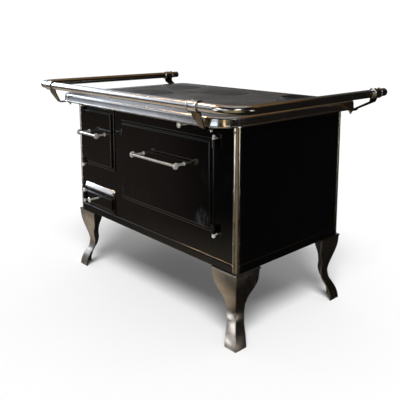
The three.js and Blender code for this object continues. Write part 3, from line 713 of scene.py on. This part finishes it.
BRACKETS = {
    "front_left": {"at": (-480, RAIL["front"]), "turn": 0, "reach": 41, "tab": 56, "bolt": 86},
    "front_right": {"at": (432, RAIL["front"]), "turn": 0, "reach": 41, "tab": 56, "bolt": 70},
    "back_left": {"at": (-RAIL["half"], 318), "turn": -90, "reach": 87, "tab": 24, "bolt": 100},
    "back_right": {"at": (RAIL["half"], 318), "turn": 90, "reach": 87, "tab": 24, "bolt": 100},
}

piece("rail_tube", [rail_tube()], "steel", replaces=("towel_rail", "rail_cap_left", "rail_cap_right"))
for word, spec in BRACKETS.items():
    turn = Matrix.Rotation(math.radians(spec["turn"]), 4, "Z")
    place = Matrix.Translation((*spec["at"], RAIL["height"])) @ turn
    band = [moved(part, place) for part in (clamp(), clamp_screw())]
    piece(f"rail_clamp_{word}", band, "steel", replaces=(f"rail_bracket_{word}",))
    arm = [moved(strap(spec["reach"], spec["tab"]), place)]
    piece(f"rail_strap_{word}", arm, "bronze", replaces=(f"rail_bracket_{word}",))
    foot = place @ Vector((0, spec["bolt"], 0))
    piece(f"rail_bolt_{word}_fitting", bolt(foot.xy), "steel", replaces=(f"rail_bolt_{word}",))

# ---- Doors ---------------------------------------------------------------------------------------------

# From the back of the border over its edge, then up the soft step to the middle: insets and depths.
DOOR_PRESSING = [
    (1.0, 0), (0.2, 0.5), (0, 1.2), (0, 1.6), (0.3, 2.7), (1.1, 3.6), (2.6, 4), (3.2, 4), (10.4, 4), (11, 4),
    (12, 4.4), (12.5, 5.4), (12.8, 8), (13.2, 10), (14.2, 11.4), (15.8, 12), (16.6, 12),
]


def door_skin(door):
    rings = []
    for inset, depth in DOOR_PRESSING:
        outline = rounded(**door, radii=(5 + inset * 0.9,) * 4, inset=inset, steps=8)
        rings.append(facing(outline, DOOR_BACK - depth))
    return loft(rings)


def hinge_barrel(door, hinge_x, low, high):
    """A barrel and the web that joins it to the door's border."""
    length = high - low
    profile = [(6, 0), (BARREL_RADIUS, 0.8), (BARREL_RADIUS, length - 0.8), (6, length)]
    inner = door["right"] - 5 if hinge_x > door["right"] else door["left"] + 5
    left, right = sorted((hinge_x, inner))
    return [
        turned(profile, (hinge_x, HINGE_Y, low), (0, 0, 1), 28),
        block((left, HINGE_Y - 2, low + 0.2), (right, DOOR_BACK - 1, high - 0.2), 0.6),
    ]


def hinge_lug(x, height, up, pin_length):
    """A lug on the front panel, its pin and the ball on the pin's end."""
    low, high = sorted((height, height + up * 5))
    arm = block((x - BARREL_RADIUS, HINGE_Y, low), (x + BARREL_RADIUS, FRONT_FACE - GAP, high), 0.5)
    rim = [(6.6, 0), (BARREL_RADIUS, 0.4), (BARREL_RADIUS, 4.6), (6.6, 5)]
    end = turned(rim, (x, HINGE_Y, low), (0, 0, 1), 28)
    pin_low, pin_high = sorted((height, height - up * pin_length))
    pin_line = [(PIN_RADIUS, 0), (PIN_RADIUS, pin_high - pin_low)]
    pin = turned(pin_line, (x, HINGE_Y, pin_low), (0, 0, 1), 20)
    return [arm, end, pin, ball((x, HINGE_Y, height + up * 9), 6.5)]


def handle_bar(start, end, z):
    """The plain round bar between a handle's two ends."""
    return [turned([(BAR_RADIUS, 0), (BAR_RADIUS, end - start)], (start, HANDLE_Y, z), (1, 0, 0), 44)]


def handle_ends(start, end, z):
    """A thick disc with rounded edges on each end of the bar, and the two posts with their roses."""
    disc = [
        (0, -7.4), (7, -7.2), (10, -6.6), (11.6, -5.6), (12, -4.4), (11.7, -2.8), (10.2, -1.4), (6.4, -0.6),
        (5.6, 0.6), (0, 0.6),
    ]
    reach = DOOR_FACE - GAP - HANDLE_Y
    post = [(4.4, 0), (4.4, reach - 5), (5.4, reach - 3.4), (7, reach - 2), (7.4, reach - 0.6), (7.4, reach)]
    parts = []
    for x, outward in ((start, 1), (end, -1)):
        parts.append(turned(disc, (x, HANDLE_Y, z), (outward, 0, 0), 44))
        parts.append(turned(post, (x + outward * 5, HANDLE_Y, z), (0, 1, 0), 28))
    return parts


def pull_knob(x, front, z, length):
    """A mushroom knob on a round stem that runs back from its front."""
    profile = [
        (0, 0), (5, 0.25), (8.6, 1.2), (10.6, 2.8), (11, 4), (10, 5.6), (7, 7.2), (5, 9), (4.2, 12),
        (4, length),
    ]
    return turned(profile, (x, front, z), (0, 1, 0), 40)


DOORS = {
    "oven": {
        "door": OVEN_DOOR, "hinge": OVEN_HINGE_X, "material": "enamel_marked", "pin": 24,
        "barrels": [(387, 416), (681, 710)], "lugs": (386, 711),
    },
    "firebox": {
        "door": FIREBOX_DOOR, "hinge": LEFT_HINGE_X, "material": "enamel", "pin": 24,
        "barrels": [(487, 516), (708, 737)], "lugs": (486, 738),
    },
    "ash": {
        "door": ASH_DOOR, "hinge": LEFT_HINGE_X, "material": "enamel", "pin": 14,
        "barrels": [(323, 354)], "lugs": (322, 355),
    },
}
for word, spec in DOORS.items():
    parts = [door_skin(spec["door"])]
    for low, high in spec["barrels"]:
        parts += hinge_barrel(spec["door"], spec["hinge"], low, high)
    piece(f"{word}_door_pressing", parts, spec["material"], f"{word}_door", (f"{word}_door",))
    for height, up, end in ((spec["lugs"][0], -1, "lower"), (spec["lugs"][1], 1, "upper")):
        lug = hinge_lug(spec["hinge"], height, up, spec["pin"])
        piece(f"{word}_hinge_{end}_lug", lug, "satin", replaces=(f"{word}_hinge_{end}",))

for word, start, end, z in (("oven", 0, 246, 601), ("firebox", -388, -260, 636)):
    door, node = f"{word}_door", f"{word}_door_handle"
    piece(f"{word}_handle_bar", handle_bar(start, end, z), "steel", door, (node,))
    piece(f"{word}_handle_ends", handle_ends(start, end, z), "satin", door, (node,))
knob_front = HANDLE_Y - 4
ash_knob = pull_knob(-328, knob_front, 350, DOOR_FACE - GAP - knob_front)
piece("ash_knob_turned", [ash_knob], "satin", "ash_door", ("ash_door_knob",))

# ---- Draught slide and oven damper ---------------------------------------------------------------------

SLIDE = {"left": -441, "right": -212, "low": 379, "high": 401}


def draught_strip():
    """A strip with a face that slopes up and back like a hood, and rounded ends."""
    middle = (SLIDE["low"] + SLIDE["high"]) / 2
    back = DOOR_BACK - GAP
    section = [
        (0, -11), (5, -11), (8, -10.4), (9.8, -9.2), (10.4, -7.6), (10.1, -6.2), (9.2, -4), (5.9, 3.4),
        (3.8, 7.8), (2.9, 9.4), (1.6, 10.6), (0, 11),
    ]
    ends = [(0, 0.5), (0.8, 0.82), (2.4, 0.96), (5, 1.0)]
    stations = [(SLIDE["left"] + along, size) for along, size in ends]
    stations += [(SLIDE["right"] - along, size) for along, size in reversed(ends)]
    rings = []
    for x, size in stations:
        outline = [(back - out * size, middle + up * size) for out, up in section]
        rings.append(sideways(outline, x))
    return loft(rings)


SLIDE_KNOB_RADIUS = 6
slide_knob = ball((SLIDE["right"] - 4, DOOR_BACK - 11.3, 390), SLIDE_KNOB_RADIUS)
piece("draught_strip", [draught_strip(), slide_knob], "steel", "draught_slide", ("draught_slide",))

# The knob, the rod behind it and the flap at the rod's end.
DAMPER_X = 272
DAMPER_Z = 749
FLAP_HALF_WIDTH = 60
FLAP_HALF_THICKNESS = 1.5
damper_parts = [
    pull_knob(DAMPER_X, -352, DAMPER_Z, 40),
    turned([(4, 0), (4, 225)], (DAMPER_X, -341, DAMPER_Z), (0, 1, 0), 24),
    block(
        (DAMPER_X - FLAP_HALF_WIDTH, -120, DAMPER_Z - FLAP_HALF_THICKNESS),
        (DAMPER_X + FLAP_HALF_WIDTH, -20, DAMPER_Z + FLAP_HALF_THICKNESS),
        0.6,
    ),
]
piece("oven_damper_rod", damper_parts, "satin", "oven_damper", ("oven_damper",))

# ---- Pieces that keep their CAD shape ------------------------------------------------------------------

SLOT_MATERIALS = {
    "black_enamel": "enamel",
    "polished_steel": "steel",
    "nickel": "nickel",
    "cast_iron": "ring_iron",
    "sheet_steel": "sheet",
    "firebrick": "brick",
}
for subpart in frame["record"]["subparts"]:
    mesh = frame["nodes"][subpart["node"]].data
    mesh.materials.clear()
    mesh.materials.append(MATERIALS[SLOT_MATERIALS[subpart["material_slot"]]])

# ---- Stage, light and camera ---------------------------------------------------------------------------

CAMERA_AZIMUTH = 47.6856
CAMERA_PITCH = 8.9427
FLOOR_HALF = 40

floor_mesh = bpy.data.meshes.new("floor")
floor_corners = [(x * FLOOR_HALF, y * FLOOR_HALF, 0) for x, y in ((-1, -1), (1, -1), (1, 1), (-1, 1))]
floor_mesh.from_pydata(floor_corners, [], [(0, 1, 2, 3)])
floor = bpy.data.objects.new("floor", floor_mesh)
bpy.context.scene.collection.objects.link(floor)
floor.visible_glossy = False
paper = Nodes("pale_floor")
paper.set(Base_Color=paper.mix(paper.noise(3.0), (0.93, 0.93, 0.93), (0.95, 0.95, 0.95)), Roughness=1.0)
paper.set(Specular_IOR_Level=0.0)
floor_mesh.materials.append(paper.material)


class Surroundings:
    """The world: an even white for the camera and soft light, and a dim room with windows for reflections."""

    def __init__(self):
        world = bpy.data.worlds.new("studio")
        bpy.context.scene.world = world
        world.use_nodes = True
        self.tree = world.node_tree
        self.tree.nodes.clear()
        world.cycles.sampling_method = "NONE"
        direction = self.node("ShaderNodeTexCoord").outputs["Generated"]
        split = self.node("ShaderNodeSeparateXYZ")
        self.tree.links.new(direction, split.inputs[0])
        x, y, z = split.outputs
        self.azimuth = self.math("ARCTAN2", y, x)
        self.elevation = self.math("ARCSINE", z)

    def node(self, kind):
        return self.tree.nodes.new(kind)

    def math(self, operation, *values):
        node = self.node("ShaderNodeMath")
        node.operation = operation
        for socket, value in zip(node.inputs, values):
            if isinstance(value, (int, float)):
                socket.default_value = value
            else:
                self.tree.links.new(value, socket)
        return node.outputs[0]

    def band(self, value, low, high, soft):
        """1 between two angles in degrees, with soft edges."""
        edges = []
        for start, end in ((low - soft, low + soft), (high + soft, high - soft)):
            node = self.node("ShaderNodeMapRange")
            node.interpolation_type = "SMOOTHSTEP"
            node.inputs["From Min"].default_value = math.radians(start)
            node.inputs["From Max"].default_value = math.radians(end)
            self.tree.links.new(value, node.inputs["Value"])
            edges.append(node.outputs["Result"])
        return self.math("MULTIPLY", *edges)

    def window(self, facing_angle, half_width, low, high, colour, soft=4.0):
        """Light from a patch of the room round an azimuth, which is anticlockwise from +X."""
        shifted = self.math("SUBTRACT", self.azimuth, math.radians(facing_angle))
        wrapped = self.math("WRAP", shifted, math.pi, -math.pi)
        side = self.band(wrapped, -half_width, half_width, soft)
        mask = self.math("MULTIPLY", side, self.band(self.elevation, low, high, soft))
        scale = self.node("ShaderNodeVectorMath")
        scale.operation = "SCALE"
        scale.inputs[0].default_value = colour
        self.tree.links.new(mask, scale.inputs["Scale"])
        return scale.outputs[0]

    def total(self, colours):
        result = colours[0]
        for colour in colours[1:]:
            node = self.node("ShaderNodeVectorMath")
            node.operation = "ADD"
            self.tree.links.new(result, node.inputs[0])
            self.tree.links.new(colour, node.inputs[1])
            result = node.outputs[0]
        return result

    def background(self, colour, strength=1.0):
        node = self.node("ShaderNodeBackground")
        node.inputs["Strength"].default_value = strength
        if isinstance(colour, tuple):
            node.inputs["Color"].default_value = (*colour, 1)
        else:
            self.tree.links.new(colour, node.inputs["Color"])
        return node.outputs[0]

    def choose(self, factor, otherwise, chosen):
        node = self.node("ShaderNodeMixShader")
        for source, target in zip((factor, otherwise, chosen), node.inputs):
            self.tree.links.new(source, target)
        return node.outputs[0]

    def finish(self, room, seen, soft):
        """The room shows in reflections, one white is seen and a dimmer one gives the soft light."""
        path = self.node("ShaderNodeLightPath").outputs
        dim, bright = (self.background((1, 1, 1), strength) for strength in (soft, seen))
        white = self.choose(path["Is Camera Ray"], dim, bright)
        output = self.node("ShaderNodeOutputWorld")
        surface = self.choose(path["Is Glossy Ray"], white, self.background(room))
        self.tree.links.new(surface, output.inputs["Surface"])


studio = Surroundings()
room = studio.total([
    studio.window(0, 400, -95, 95, (0.010, 0.009, 0.008)),
    # A big window to the left, its glow, and the wall beside it.
    studio.window(186, 20, 10, 27, (7.5, 8.6, 10.0), 5),
    studio.window(182, 42, 0, 44, (0.35, 0.39, 0.46), 6),
    studio.window(212, 12, 3, 22, (0.56, 0.58, 0.62), 5),
    # The brown floor in front and to the left, the warm ceiling and its lamp.
    studio.window(204, 17, -95, -7, (0.125, 0.095, 0.08), 5),
    studio.window(209, 22, -95, -22, (0.38, 0.33, 0.25), 4),
    studio.window(160, 30, -70, -20, (0.40, 0.38, 0.36), 8),
    studio.window(190, 50, 34, 62, (0.34, 0.18, 0.07), 3),
    studio.window(193, 7, 42.8, 49, (30.0, 20.5, 11.5), 1.5),
    # Narrow bright openings round the front right corner, with an olive wall between them.
    studio.window(241, 7, -14, -4, (5.4, 5.5, 5.8), 2.5),
    studio.window(268, 20, 3, 16, (1.3, 1.45, 1.7), 3),
    studio.window(248, 8, 18, 28, (5.0, 5.0, 5.2), 3),
    studio.window(314, 3, 3, 13, (2.2, 1.5, 0.7), 2),
    studio.window(324, 8, 16, 28, (5.0, 4.8, 4.4), 3),
    studio.window(12, 5, -14, -5, (3.6, 3.5, 3.3), 2),
    studio.window(303, 34, -50, 2, (0.25, 0.21, 0.13), 9),
    # The far side of the room and the ceiling.
    studio.window(125, 25, 0, 30, (0.08, 0.08, 0.075), 10),
    studio.window(90, 50, 34, 62, (0.16, 0.09, 0.035), 8),
    studio.window(0, 400, 62, 95, (0.4, 0.4, 0.4), 6),
])
studio.finish(room, 1.06, 0.42)

key_data = bpy.data.lights.new("key", "SUN")
key_data.energy = 2.65
key_data.angle = math.radians(24)
key = bpy.data.objects.new("key", key_data)
key.rotation_euler = (math.radians(35), 0, math.radians(CAMERA_AZIMUTH - 4))
key.visible_glossy = False
bpy.context.scene.collection.objects.link(key)

camera_data = bpy.data.cameras.new("camera")
camera_data.sensor_width = 36
camera_data.lens = 49.80
camera_data.shift_y = -0.2
camera_data.clip_start = 0.05
camera_data.clip_end = 200
camera = bpy.data.objects.new("camera", camera_data)
camera.location = (1.6758, -1.5020, 1.0535)
camera.rotation_euler = (math.radians(90 - CAMERA_PITCH), 0, math.radians(CAMERA_AZIMUTH))
bpy.context.scene.collection.objects.link(camera)
bpy.context.scene.camera = camera
bpy.context.scene.view_settings.view_transform = "Standard"
